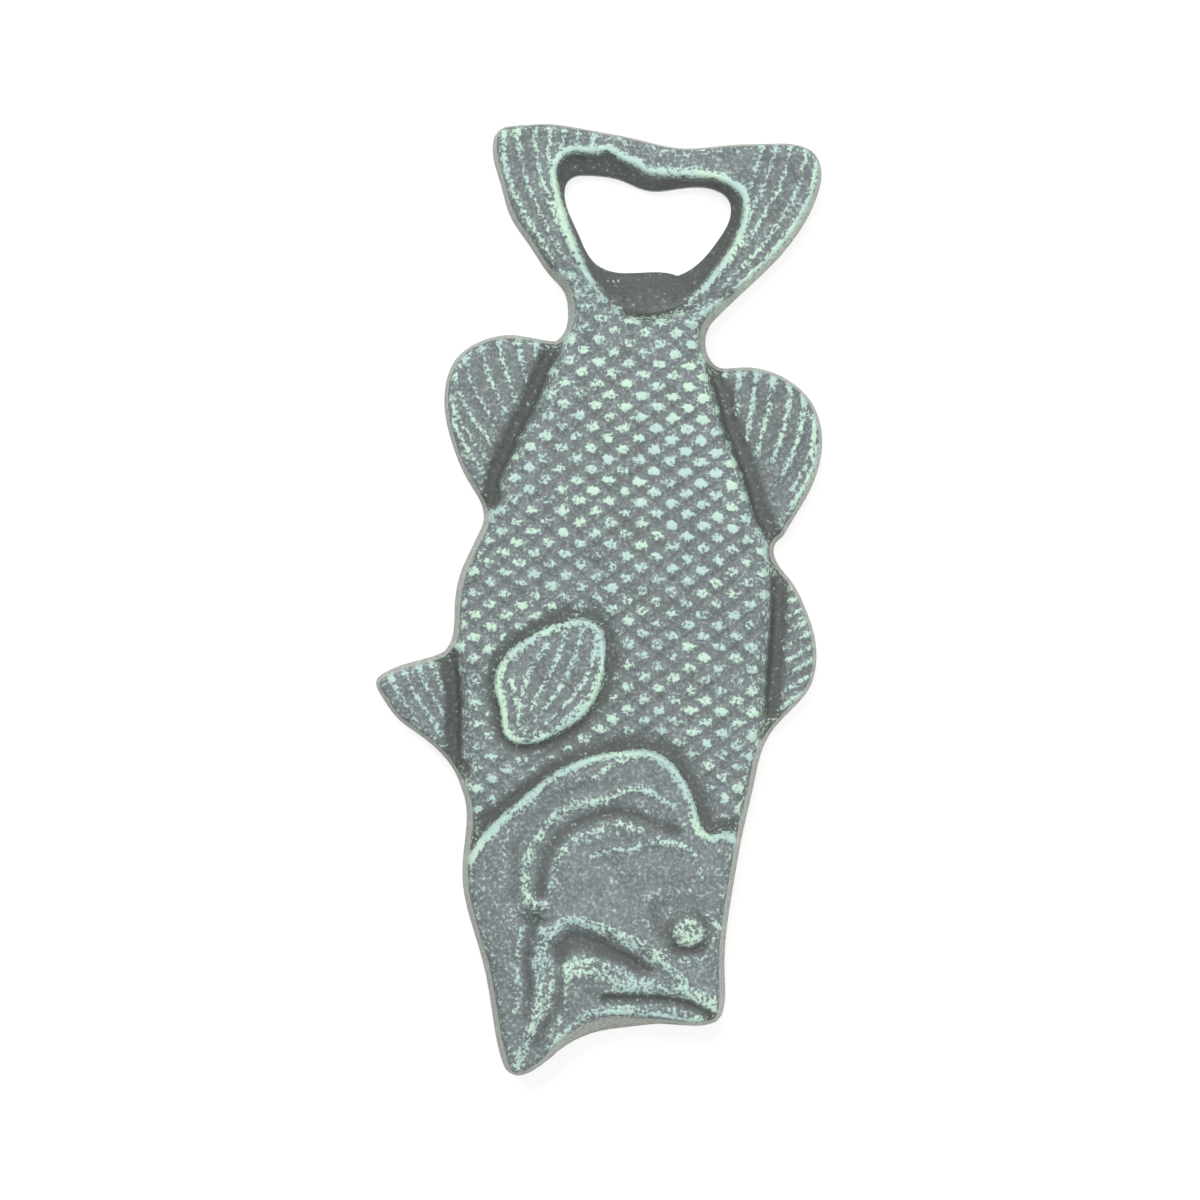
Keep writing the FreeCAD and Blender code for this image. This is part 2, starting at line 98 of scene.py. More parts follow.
# Sunk bands: how deep, then how far they reach.
FIN_ROOT_DIP, FIN_ROOT_REACH = 0.55, 1.3
GILL_MOAT, GILL_MOAT_REACH = 0.9, 2.6
PECTORAL_MOAT, PECTORAL_MOAT_REACH = 0.75, 2.0
EYE_SOCKET, EYE_SOCKET_REACH = 0.55, 0.9
JAW_POCKET_DEPTH = 1.25
JAW_SCOOP, JAW_SCOOP_REACH = 1.55, 7.0

# Raised plates: how far they stand up, and the bead along their edge.
GILL_RISE, GILL_BEAD = 0.55, 0.35
PECTORAL_RISE, PECTORAL_BEAD = 0.75, 0.2
RECESS_BEAD = 0.22

# Cast skin: how rough, then the size of its lumps.
RECESS_PITS, RECESS_PIT_SIZE = 0.14, 0.8
COARSE_SKIN, COARSE_SKIN_SIZE = 0.05, 1.3
FINE_SKIN, FINE_SKIN_SIZE = 0.035, 0.7
RIM_WOBBLE, RIM_WOBBLE_SIZE = 0.07, 1.8
WALL_LUMPS, WALL_LUMP_SIZE = 0.09, 1.1
BUMP_HEIGHT = 0.12

# ---------------------------------------------------------------- curves, mm, x towards the fish's back

# Where each fin leaves the trunk.
ANAL_ROOT = [(-9.2, 42.0), (-10.8, 36.5), (-12.5, 31.0), (-14.3, 27.0), (-15.8, 23.0), (-17.4, 19.0),
             (-19.0, 14.0)]
SOFT_DORSAL_ROOT = [(15.4, 40.0), (16.9, 33.5), (18.5, 28.5), (20.2, 25.0), (22.0, 21.0), (23.8, 16.0),
                    (26.5, 11.0)]
SPINY_DORSAL_ROOT = [(26.6, 9.5), (27.2, 5.0), (27.5, 0.0), (27.5, -6.0), (27.4, -12.0), (27.5, -17.0),
                     (28.4, -20.0)]
PELVIC_ROOT = [(-23.8, -8.6), (-22.4, -11.0), (-21.7, -15.0), (-21.3, -20.0), (-20.9, -25.0),
               (-20.6, -29.0)]
# Closed round the trunk; it leaves the silhouette where no fin is.
TRUNK = (ANAL_ROOT + [(-34.0, 11.0), (-34.0, -6.0)] + PELVIC_ROOT
         + [(-34.0, -34.0), (-34.0, -90.0), (44.0, -90.0), (44.0, -22.0)]
         + SPINY_DORSAL_ROOT[::-1] + SOFT_DORSAL_ROOT[::-1]
         + [(24.0, 44.0), (20.0, 49.0), (14.5, 50.0), (10.0, 47.6), (5.0, 46.0), (0.0, 47.2), (-4.4, 50.6),
            (-9.0, 53.0), (-14.0, 50.0)])

# Front edge of the cap recess, closed.
RECESS = [(-8.0, 71.4), (-5.2, 71.2), (-3.4, 71.8), (-1.4, 70.8), (1.6, 69.6), (3.6, 68.6), (8.0, 68.5),
          (13.6, 68.5), (16.4, 67.6), (18.6, 65.6), (18.7, 61.8), (17.2, 57.6), (14.6, 53.4), (11.8, 49.6),
          (9.0, 47.3), (5.8, 46.1), (3.0, 46.1), (0.4, 47.0), (-1.8, 48.6), (-4.2, 51.0), (-6.2, 54.4),
          (-8.6, 59.4), (-10.6, 65.0), (-11.2, 68.4), (-10.0, 70.6)]

GILL_COVER = [(-19.4, -41.6), (-17.2, -38.2), (-15.0, -35.4), (-11.4, -31.8), (-7.6, -28.2), (-4.0, -25.6),
              (0.4, -23.6), (5.0, -22.6), (8.6, -22.2), (12.0, -23.4), (14.4, -25.6), (16.2, -28.4),
              (17.4, -31.2), (19.0, -34.6), (26.0, -40.0), (34.0, -90.0), (-34.0, -90.0), (-26.0, -44.0)]
PECTORAL_FIN = [(-13.8, -7.9), (-10.0, -5.0), (-6.0, -3.0), (-3.0, -2.2), (-0.6, -2.8), (1.0, -4.4),
                (1.6, -7.4), (1.5, -11.4), (0.4, -15.2), (-1.8, -18.4), (-5.2, -21.0), (-9.2, -22.9),
                (-12.2, -23.0), (-14.0, -21.9), (-14.7, -19.6), (-15.2, -17.0), (-16.1, -14.4),
                (-15.8, -11.0)]
JAW_POCKET = [(-5.0, -55.0), (-3.6, -52.4), (-1.4, -51.0), (2.0, -51.4), (6.0, -53.0), (9.6, -54.8),
              (12.4, -57.2), (10.2, -58.4), (6.4, -57.2), (2.0, -56.0), (-1.0, -56.2), (-3.0, -58.0)]


def ray(points, rise, width):
    """One ridge or groove: its line, how far it stands up, and its half width."""
    return points, rise, width


# Ridges stand up, grooves go down.
LINES = {
    "second gill ridge": ray([(0.6, -27.4), (2.6, -25.8), (5.4, -24.2), (9.0, -23.2),
                              (12.0, -24.0)], 0.3, 0.55),
    "gill valley": ray([(-1.5, -26.6), (2.2, -24.7), (5.0, -23.4)], -0.3, 0.5),
    "preopercle": ray([(-7.4, -48.4), (-8.8, -46.0), (-9.3, -42.6), (-8.6, -39.4), (-7.2, -36.8),
                       (-5.2, -34.0),
                       (-2.4, -32.0), (2.0, -30.9), (5.0, -29.4), (8.0, -28.7), (11.0, -29.8), (13.4, -31.0)],
                      0.55, 0.75),
    "preopercle foot": ray([(-8.6, -48.0), (-7.4, -47.9), (-6.2, -47.9)], 0.5, 0.9),
    "preopercle valley": ray([(-6.8, -46.0), (-6.5, -42.4), (-5.6, -39.2), (-4.0, -36.8), (-1.0, -34.6),
                              (3.0, -33.0), (7.0, -32.8), (11.0, -34.4), (14.0, -35.0)], -0.85, 1.15),
    "gill side valley": ray([(-11.0, -47.0), (-11.4, -42.0), (-10.6, -37.6), (-8.4, -34.0), (-5.0, -31.0),
                             (-1.0, -28.8)], -0.4, 0.9),
    "cheek line": ray([(1.0, -39.8), (4.0, -38.6), (7.0, -38.4), (10.0, -37.3), (14.0, -37.0), (16.8, -38.0),
                       (18.0, -40.4), (18.6, -42.4)], 0.28, 0.5),
    "cheek hollow": ray([(0.6, -38.6), (3.6, -37.2), (7.0, -36.9), (9.6, -35.8)], -0.28, 0.6),
    "upper jaw": ray([(-7.0, -57.6), (-5.8, -54.4), (-4.2, -51.6), (-1.8, -49.9), (2.0, -50.2), (6.0, -51.6),
                      (9.6, -53.0), (12.4, -54.8), (14.8, -57.0), (17.0, -58.6)], 0.5, 0.8),
    "lower jaw groove": ray([(-7.4, -50.2), (-8.0, -54.0), (-8.0, -58.0), (-7.6, -62.0),
                             (-7.9, -66.0)], -0.75, 0.95),
    "jaw joint": ray([(-9.4, -50.4), (-7.6, -50.6), (-5.6, -50.4)], -0.4, 0.8),
    "lower jaw ridge": ray([(-5.6, -56.4), (-5.9, -60.0), (-5.9, -64.0), (-6.8, -67.6),
                            (-7.6, -70.6)], 0.3, 0.7),
    "lip valley": ray([(-3.0, -58.4), (-2.7, -61.6), (-3.2, -64.6), (-4.8, -67.6),
                       (-5.9, -70.0)], -0.65, 0.8),
    "lip ridge": ray([(-2.0, -58.6), (2.0, -58.2), (7.0, -59.4), (12.0, -59.8), (17.0, -60.2), (21.6, -61.6)],
                     0.4, 1.2),
    "lip groove": ray([(4.6, -62.2), (8.0, -61.9), (12.0, -61.8), (16.0, -61.9), (19.0, -62.8),
                       (21.6, -64.2)],
                      -0.95, 0.75),
    "mouth edge": ray([(-4.6, -72.6), (-3.0, -70.0), (-1.0, -67.4), (1.2, -65.2), (3.4, -64.3), (8.0, -64.0),
                       (13.0, -64.2), (18.0, -65.2), (21.0, -65.6)], 0.3, 0.6),
    "brow": ray([(20.0, -48.2), (21.0, -49.2), (22.2, -50.0)], 0.3, 0.4),
    "snout hollow": ray([(15.0, -53.6), (17.0, -53.4), (19.6, -53.2)], -0.45, 0.9),
    "brow hollow": ray([(13.2, -46.6), (16.0, -46.2), (19.0, -46.6)], -0.4, 1.1),
    "cheek pit": ray([(11.4, -47.6), (12.2, -49.6), (12.4, -51.4)], -0.65, 1.5),
}

EYE_CENTRE = (17.0, -51.0)
EYE_RADIUS = 2.7
EYE_RISE = 0.75

SOFT_DORSAL_RAYS = [
    [(17.2, 38.2), (17.4, 35.5), (17.9, 32.5)],
    [(19.7, 38.4), (19.6, 35.0), (19.6, 31.0)],
    [(22.5, 38.2), (22.2, 34.0), (21.9, 30.0), (21.6, 27.4)],
    [(25.2, 37.8), (24.9, 33.6), (24.3, 29.6), (23.3, 25.6)],
    [(27.9, 36.8), (27.9, 33.0), (27.2, 28.6), (25.9, 24.4)],
    [(30.3, 35.0), (30.2, 31.0), (29.3, 26.6), (27.4, 21.6)],
    [(32.4, 32.0), (32.1, 28.0), (31.2, 24.2), (29.4, 20.0)],
    [(32.9, 27.0), (32.3, 23.6), (31.0, 20.4), (29.4, 17.6)],
]
ANAL_RAYS = [
    [(-12.6, 40.8), (-12.6, 38.8), (-12.2, 36.4)],
    [(-15.6, 41.0), (-14.9, 38.0), (-13.6, 34.6)],
    [(-18.6, 40.4), (-17.6, 37.0), (-16.4, 34.0), (-15.2, 31.4)],
    [(-21.4, 39.4), (-20.4, 36.2), (-18.8, 32.8), (-17.0, 29.6)],
    [(-23.8, 37.4), (-22.6, 34.0), (-20.6, 30.6), (-18.4, 27.4)],
    [(-25.2, 34.6), (-23.8, 31.2), (-21.6, 27.8), (-19.0, 24.6)],
    [(-25.6, 31.0), (-24.0, 27.6), (-21.6, 24.4), (-19.2, 21.6)],
    [(-24.8, 27.0), (-23.0, 24.0), (-21.0, 21.2), (-19.2, 19.0)],
]
SPINY_RAY_FEET = (-16.0, 6.0)       # y of the first and last ray at the trunk
SPINY_RAY_STEP = 2.35
SPINY_RAY_SLOPE = math.tan(math.radians(33.0))
PELVIC_RAYS = [
    [(-26.2, -10.9), (-25.2, -13.0), (-23.8, -15.6), (-22.4, -18.0)],
    [(-28.2, -11.6), (-27.2, -14.2), (-25.4, -16.8), (-23.2, -20.0)],
    [(-30.4, -12.6), (-29.0, -15.4), (-26.8, -18.4), (-24.0, -21.8)],
    [(-32.4, -13.6), (-30.8, -16.4), (-28.4, -19.4)],
]
PECTORAL_RAYS = [
    [(-13.2, -13.0), (-12.0, -17.0), (-11.4, -20.6)],
    [(-8.0, -6.8), (-10.4, -11.4), (-11.6, -15.6), (-11.2, -20.0)],
    [(-5.0, -5.2), (-6.6, -10.0), (-8.8, -14.6), (-10.4, -18.6)],
    [(-2.6, -4.6), (-3.4, -8.6), (-5.4, -13.4), (-8.4, -17.8), (-10.6, -20.8)],
    [(-0.2, -5.8), (-0.9, -10.0), (-3.2, -14.6), (-6.6, -18.6), (-9.6, -21.2)],
    [(0.9, -9.6), (-0.2, -13.2), (-3.0, -17.0), (-6.4, -20.2)],
]
TAIL_RAYS = [
    [(-19.9, 73.6), (-19.2, 69.0), (-17.2, 63.6), (-13.2, 57.6), (-8.8, 51.8)],
    [(-17.6, 74.0), (-16.6, 68.6), (-14.2, 62.8), (-10.8, 57.0), (-7.2, 51.8)],
    [(-15.0, 74.2), (-14.2, 69.2), (-12.0, 63.4), (-9.4, 58.4), (-6.2, 53.2)],
    [(-12.6, 74.4), (-12.6, 71.4), (-12.0, 68.4), (-10.4, 63.4)],
    [(-10.2, 74.2), (-10.6, 72.0)],
    [(-8.0, 74.2), (-8.3, 72.0)],
    [(-5.6, 74.0), (-5.8, 72.4)],
    [(21.2, 74.0), (20.6, 71.0), (19.8, 67.6)],
    [(23.4, 74.2), (22.4, 69.6), (20.6, 64.6), (18.2, 59.6), (15.4, 55.2), (12.6, 51.4)],
    [(25.8, 74.2), (24.6, 68.8), (22.2, 63.2), (18.8, 57.6), (14.6, 52.2)],
    [(28.2, 73.6), (27.2, 67.6), (24.2, 61.4), (20.2, 55.8), (15.6, 50.4)],
    [(30.0, 71.8), (29.2, 66.4), (26.6, 61.0), (22.4, 55.4), (16.6, 49.4)],
]


# ---------------------------------------------------------------- arithmetic on arrays

def smooth(values, low, high):
    """0 below low, 1 above high, and between them the curve 3t^2 - 2t^3."""
    t = np.clip((values - low) / (high - low), 0.0, 1.0)
    return t * t * (3.0 - 2.0 * t)


def bell(distance, width):
    """1 at no distance, falling as exp(-(distance / width)^2)."""
    return np.exp(-(distance / width) ** 2)


def curve_through(points, closed=False, step=0.8):
    """Points about a step apart on the Catmull-Rom curve through a row of points."""
    rows = np.array(points, dtype=float)
    if closed:
        rows = np.vstack([rows[-1], rows, rows[0], rows[1]])
    else:
        rows = np.vstack([2 * rows[0] - rows[1], rows, 2 * rows[-1] - rows[-2]])
    found = []
    for a, b, c, d in zip(rows, rows[1:], rows[2:], rows[3:]):
        count = max(1, int(np.linalg.norm(c - b) / step))
        t = (np.arange(count) / count)[:, None]
        found.append(0.5 * (2 * b + (c - a) * t + (2 * a - 5 * b + 4 * c - d) * t ** 2
                            + (3 * b - a - 3 * c + d) * t ** 3))
    if not closed:
        found.append(rows[-2][None])
    return np.vstack(found)


def segments_of(line, closed=False):
    """Row of points as segments, start and end for each."""
    ends = np.roll(line, -1, axis=0)
    both = np.stack([line, ends], axis=1)
    return both if closed else both[:-1]


def nearest_on(x, y, segments):
    """Distance from each point to the nearest segment, and the place on that segment."""
    best = np.full(x.shape, np.inf)
    foot_x, foot_y = np.zeros_like(x), np.zeros_like(y)
    for (ax, ay), (bx, by) in segments:
        run_x, run_y = bx - ax, by - ay
        t = np.clip(((x - ax) * run_x + (y - ay) * run_y) / max(run_x ** 2 + run_y ** 2, 1e-12), 0.0, 1.0)
        near_x, near_y = ax + t * run_x, ay + t * run_y
        gap = (x - near_x) ** 2 + (y - near_y) ** 2
        closer = gap < best
        best = np.where(closer, gap, best)
        foot_x = np.where(closer, near_x, foot_x)
        foot_y = np.where(closer, near_y, foot_y)
    return np.sqrt(best), foot_x, foot_y


def inside(x, y, segments):
    """True where a line to the far left crosses the closed segments an odd number of times."""
    odd = np.zeros(x.shape, dtype=bool)
    for (ax, ay), (bx, by) in segments:
        if ay != by:
            crosses = (ay > y) != (by > y)
            odd ^= crosses & (x > ax + (y - ay) * (bx - ax) / (by - ay))
    return odd


def depth_in(x, y, segments):
    """Distance into a closed outline: above 0 inside it, below 0 outside."""
    gap = nearest_on(x, y, segments)[0]
    return np.where(inside(x, y, segments), gap, -gap)


def depth_in_curve(x, y, points):
    """Distance into the smooth closed curve through a row of points."""
    return depth_in(x, y, segments_of(curve_through(points, closed=True), closed=True))


def gap_to_curve(x, y, points):
    """Distance to the smooth open curve through a row of points, only worked out near it."""
    line = curve_through(points)
    margin = 5.0
    gap = np.full(x.shape, margin)
    near = ((x > line[:, 0].min() - margin) & (x < line[:, 0].max() + margin)
            & (y > line[:, 1].min() - margin) & (y < line[:, 1].max() + margin))
    gap[near] = np.minimum(nearest_on(x[near], y[near], segments_of(line))[0], margin)
    return gap


def lattice_noise(x, y, size, seed):
    """Smooth noise between -1 and 1 with lumps of a given size: random values on a lattice, eased between."""
    random = np.random.default_rng(seed).uniform(-1.0, 1.0, (512, 512))
    column, row = np.floor(x / size).astype(int), np.floor(y / size).astype(int)
    tx, ty = x / size - column, y / size - row
    tx, ty = tx * tx * (3 - 2 * tx), ty * ty * (3 - 2 * ty)
    def at(i, j):
        return random[i % 512, j % 512]
    low = at(column, row) * (1 - tx) + at(column + 1, row) * tx
    high = at(column, row + 1) * (1 - tx) + at(column + 1, row + 1) * tx
    return low * (1 - ty) + high * ty


def blurred(field, radius):
    """Field on the grid, averaged with a bell of a given radius along x and then along y."""
    reach = int(3 * radius / PITCH)
    steps = np.arange(-reach, reach + 1) * PITCH
    weights = bell(steps, radius * math.sqrt(2))
    weights /= weights.sum()
    padded = np.pad(field, reach, mode="edge")
    across = np.apply_along_axis(np.convolve, 0, padded, weights, "valid")
    return np.apply_along_axis(np.convolve, 1, across, weights, "valid")


# ---------------------------------------------------------------- outline from the CAD casting

def back_outline(node):
    """Outline of the CAD casting's flat back: the sides that only one of its triangles at z = 0 has, in
    mm.
    """
    mesh = node.data
    corners = np.empty(len(mesh.vertices) * 3)
    mesh.vertices.foreach_get("co", corners)
    mesh.calc_loop_triangles()
    triangles = np.empty(len(mesh.loop_triangles) * 3, dtype=int)
    mesh.loop_triangles.foreach_get("vertices", triangles)
    places, merged = np.unique(np.round(corners.reshape(-1, 3) / MM, 3), axis=0, return_inverse=True)
    triangles = merged.reshape(-1)[triangles].reshape(-1, 3)
    triangles = triangles[np.all(places[triangles][:, :, 2] < 0.01, axis=1)]
    sides = np.vstack([triangles[:, [0, 1]], triangles[:, [1, 2]], triangles[:, [2, 0]]])
    _, first, count = np.unique(np.sort(sides, axis=1), axis=0, return_index=True, return_counts=True)
    return places[sides[first[count == 1]]][:, :, :2]


def split_outline(outline):
    """Outer silhouette and cap mouth, as the two rings of segments that hang together end to end.

    Every place starts with its own number, and each segment passes the lower of its two numbers to both
    ends until nothing changes. The ring that reaches furthest is the silhouette.
    """
    places, ends = np.unique(outline.reshape(-1, 2), axis=0, return_inverse=True)
    ends = ends.reshape(-1, 2)
    label = np.arange(len(places))
    settled = False
    while not settled:
        before = label.copy()
        lower = label[ends].min(axis=1)
        np.minimum.at(label, ends[:, 0], lower)
        np.minimum.at(label, ends[:, 1], lower)
        settled = np.array_equal(before, label)
    rings = [outline[label[ends[:, 0]] == number] for number in np.unique(label)]
    rings.sort(key=lambda ring: np.ptp(ring[:, :, 1]), reverse=True)
    assert len(rings) == 2, "the back has one silhouette and one cap mouth"
    return rings


# ---------------------------------------------------------------- relief: each returns heights in mm

def scale_cells(x, y):
    """Scales as a staggered lattice of diamonds: height 0 to 1, a chance number for each, and p and q from
    its middle.

    The lattice has columns SCALE_PITCH_X apart, which lean and bend a little, and rows half SCALE_PITCH_Y
    apart. In coordinates p and q along its two diagonals, a diamond's height is cos(pi p) cos(pi q) from
    its middle.
    """
    sway = 0.6 * lattice_noise(x, y, 14.0, 3) + 0.22 * lattice_noise(x, y, 5.0, 4)
    lean = 0.10 * np.clip(22.0 - y, 0.0, 60.0)
    column = (x - 2.2 - lean * 0.9 + sway * 0.5) / SCALE_PITCH_X
    row = (y - 28.0 - 0.02 * x + sway * 0.35) / SCALE_PITCH_Y
    p, q = column + row, column - row
    middle_p, middle_q = np.round(p), np.round(q)
    height = np.cos(np.pi * (p - middle_p)) * np.cos(np.pi * (q - middle_q))
    number = (middle_p * 37 + middle_q * 101).astype(int)
    chance = np.random.default_rng(11).uniform(0.0, 1.0, 997)[number % 997]
    return np.clip(height, 0.0, 1.0), chance, (p - middle_p), (q - middle_q)


def rays_height(x, y, rays, rise, width):
    """Tallest of several rounded ridges."""
    height = np.zeros_like(x)
    for points in rays:
        height = np.maximum(height, bell(gap_to_curve(x, y, points), width))
    return rise * height


def spiny_rays():
    """Spiny dorsal rays, evenly spaced, each a slanting line from the trunk to past the fin's edge."""
    feet = np.arange(SPINY_RAY_FEET[0], SPINY_RAY_FEET[1], SPINY_RAY_STEP)
    return [[(27.8, foot - 2.0), (31.5, foot - 2.0 + 3.7 * SPINY_RAY_SLOPE),
             (36.0, foot - 2.0 + 8.2 * SPINY_RAY_SLOPE)] for foot in feet]


def ray_fans():
    """Every fin's rays: their lines, how far they stand up, and their half width."""
    return ((SOFT_DORSAL_RAYS, 0.6, 0.62), (ANAL_RAYS, 0.38, 0.6), (spiny_rays(), 0.42, 0.55),
            (PELVIC_RAYS, 0.4, 0.65), (TAIL_RAYS, 0.42, 0.62))


def relief(x, y, edge, mouth_gap):
    """Height of the casting's front, and the facts about each place that the paint goes by.

    edge is the distance in from the silhouette and mouth_gap the distance from the cap mouth.
    """
    trunk = depth_in_curve(x, y, TRUNK)
    body_edge = np.minimum(np.maximum(trunk, 0.0), np.maximum(edge - 1.0, 0.0))
    crown = 1.0 - (1.0 - np.clip(body_edge / TRUNK_HALF_WIDTH, 0.0, 1.0)) ** 2.4
    narrow = smooth(y, 16.0, 50.0)
    trunk_height = TRUNK_EDGE_HEIGHT - 0.3 * narrow + TRUNK_RISE * crown
    on_trunk = smooth(trunk, -0.5, 1.7)

    # Fins and tail, with rays.
    on_tail = smooth(y, 44.0, 52.0)
    plate = FIN_HEIGHT + (TAIL_HEIGHT - FIN_HEIGHT) * on_tail
    rays = sum(rays_height(x, y, *fan) for fan in ray_fans())
    fin_root = bell(trunk + 0.9, FIN_ROOT_REACH) * (1.0 - on_tail)
    plate = plate + rays * (1.0 - 0.8 * fin_root) - FIN_ROOT_DIP * fin_root
    height = plate + (trunk_height - plate) * on_trunk

    # Gill cover and pectoral fin stand on the trunk, each in a sunk moat.
    gill = depth_in_curve(x, y, GILL_COVER)
    pectoral = depth_in_curve(x, y, PECTORAL_FIN)
    moat = (GILL_MOAT * bell(np.minimum(gill + 0.2, 0.0), GILL_MOAT_REACH)
            + PECTORAL_MOAT * bell(np.minimum(pectoral + 0.2, 0.0), PECTORAL_MOAT_REACH))
    moat *= smooth(edge, 0.5, 2.5)
    on_gill = smooth(gill, -0.15, 0.75)
    on_pectoral = smooth(pectoral, -0.15, 0.7)
    covered = np.maximum(on_gill, on_pectoral)
    height = height - moat * (1.0 - covered) * on_trunk
    height = height + on_gill * (GILL_RISE + GILL_BEAD * bell(gill - 0.8, 0.9))
    pectoral_rays = rays_height(x, y, PECTORAL_RAYS, 0.42, 0.6)
    pectoral_bead = PECTORAL_BEAD * bell(pectoral - 0.7, 0.7)
    height = height + on_pectoral * (PECTORAL_RISE + pectoral_bead + pectoral_rays)

    # Scales everywhere on the bare trunk, fading in the moats and out at the head.
    cell, chance, p, q = scale_cells(x, y)
    bare = on_trunk * (1.0 - covered) * (1.0 - 0.85 * smooth(gill, -3.4, -0.8))
    bare *= 1.0 - 0.8 * smooth(pectoral, -2.6, -0.8)
    bare *= smooth(edge, 0.8, 2.2)
    rising = bell(np.abs(np.abs(p) - 0.5), 0.13)
    falling = bell(np.abs(np.abs(q) - 0.5), 0.13)
    height = height + bare * (SCALE_RISE * cell ** 0.7 - 0.10 * rising - 0.2 * falling)

    # Lines of the head.
    for points, rise, width in LINES.values():
        height = height + rise * bell(gap_to_curve(x, y, points), width)
    pocket = depth_in_curve(x, y, JAW_POCKET)
    height = height - JAW_POCKET_DEPTH * smooth(pocket, -0.5, 1.8)
    from_eye = np.hypot(x - EYE_CENTRE[0], y - EYE_CENTRE[1])
    height = height - EYE_SOCKET * bell(from_eye - EYE_RADIUS - 0.3, EYE_SOCKET_REACH)
    height = height + EYE_RISE * np.sqrt(np.clip(1.0 - (from_eye / EYE_RADIUS) ** 2, 0.0, 1.0))

    # Cap recess: from the land round the mouth up to the recess's front edge.
    recess = depth_in_curve(x, y, RECESS)
    share = np.clip(mouth_gap / np.maximum(mouth_gap + np.maximum(recess, 0.0), 1e-6), 0.0, 1.0)
    brim = TAIL_HEIGHT - 1.2 + (TRUNK_EDGE_HEIGHT - TAIL_HEIGHT - 0.4) * smooth(y, 54.0, 47.0)
    floor = MOUTH_FLOOR + (brim - MOUTH_FLOOR) * share ** 1.1
    pits = RECESS_PITS * lattice_noise(x, y, RECESS_PIT_SIZE, 21)
    in_recess = smooth(recess, -0.25, 0.7)
    height = height * (1.0 - in_recess) + (floor + pits) * in_recess
    height = height + RECESS_BEAD * bell(recess + 0.5, 0.6)

    # Skin of the casting.
    height = height + COARSE_SKIN * lattice_noise(x, y, COARSE_SKIN_SIZE, 31)
    height = height + FINE_SKIN * lattice_noise(x, y, FINE_SKIN_SIZE, 32)

    facts = {"cell": cell, "chance": chance, "bare": bare, "in_recess": in_recess, "gill": gill,
             "pectoral": pectoral, "recess": recess}
    return height, facts


def rim_height(x, y):
    """Height of the wall's top, rough enough to set how far the drafted wall leans in."""
    trunk = depth_in_curve(x, y, TRUNK)
    return FIN_HEIGHT + (TRUNK_EDGE_HEIGHT - FIN_HEIGHT) * smooth(trunk, -0.5, 1.5)


def wall_lean(x, y):
    """How far the wall leans in: its draft, and more inside the fish's mouth, which is scooped out."""
    scoop = JAW_SCOOP * bell(x - 4.5, JAW_SCOOP_REACH)
    scoop *= smooth(y, -58.0, -63.0) * smooth(x, -6.5, -2.0)
    return DRAFT * rim_height(x, y) + scoop


# ---------------------------------------------------------------- surfaces

def clip(points, triangles, level):
    """Part of a triangle mesh where level is above 0. Sides that cross 0 are cut there, in straight
    proportion.

    points holds one row for each vertex, of its place and anything else to be carried along. Returns the
    rows and triangles that are left, and the level at each row.
    """
    signs = np.sign(level)[triangles]
    above, below = (signs > 0).sum(axis=1), (signs < 0).sum(axis=1)

    def turned(chosen, first):
        """Chosen triangles, turned so that the corner marked in first comes first."""
        rows = triangles[chosen]
        start = np.argmax(first[chosen], axis=1)[:, None]
        return np.take_along_axis(rows, (start + np.arange(3)) % 3, axis=1)

    cuts = []

    def cut(a, b):
        """Numbers of the new vertices on the sides from a to b, counted in a list of their own."""
        cuts.append(np.stack([np.minimum(a, b), np.maximum(a, b)], axis=1))
        start = sum(len(c) for c in cuts[:-1])
        return -1 - np.arange(start, start + len(a))

    kept = [triangles[(below == 0) & (above > 0)]]
    one_out = turned((below == 1) & (above == 2), signs < 0)
    first, second = cut(one_out[:, 0], one_out[:, 1]), cut(one_out[:, 0], one_out[:, 2])
    kept += [np.stack([first, one_out[:, 1], one_out[:, 2]], axis=1),
             np.stack([first, one_out[:, 2], second], axis=1)]
    one_in = turned((below == 2) & (above == 1), signs > 0)
    first, second = cut(one_in[:, 0], one_in[:, 1]), cut(one_in[:, 0], one_in[:, 2])
    kept += [np.stack([one_in[:, 0], first, second], axis=1)]
    split = turned((below == 1) & (above == 1), signs == 0)
    middle = cut(split[:, 1], split[:, 2])
    falls = level[split[:, 1]] > 0
    kept += [np.stack([split[:, 0], np.where(falls, split[:, 1], middle),
                       np.where(falls, middle, split[:, 2])], axis=1)]

    sides, number = np.unique(np.vstack(cuts), axis=0, return_inverse=True)
    share = (level[sides[:, 0]] / (level[sides[:, 0]] - level[sides[:, 1]]))[:, None]
    fresh = points[sides[:, 0]] * (1 - share) + points[sides[:, 1]] * share
    kept = np.vstack(kept)
    kept = np.where(kept < 0, len(points) + number.reshape(-1)[-1 - np.minimum(kept, -1)], kept)
    used, kept = np.unique(kept, return_inverse=True)
    rows = np.vstack([points, fresh])[used]
    levels = np.concatenate([level, np.zeros(len(fresh))])[used]
    return rows, kept.reshape(-1, 3), levels


def grid_triangles(columns, rows):
    """Two triangles for each cell of a grid, counter-clockwise, their shared side leaning each way by
    turns.
    """
    i, j = np.meshgrid(np.arange(columns - 1), np.arange(rows - 1), indexing="ij")
    i, j = i.ravel(), j.ravel()
    a, b, c, d = i * rows + j, (i + 1) * rows + j, (i + 1) * rows + j + 1, i * rows + j + 1
    even = ((i + j) % 2 == 0)[:, None]
    first = np.where(even, np.stack([a, b, c], axis=1), np.stack([a, b, d], axis=1))
    second = np.where(even, np.stack([a, c, d], axis=1), np.stack([b, c, d], axis=1))
    return np.vstack([first, second])


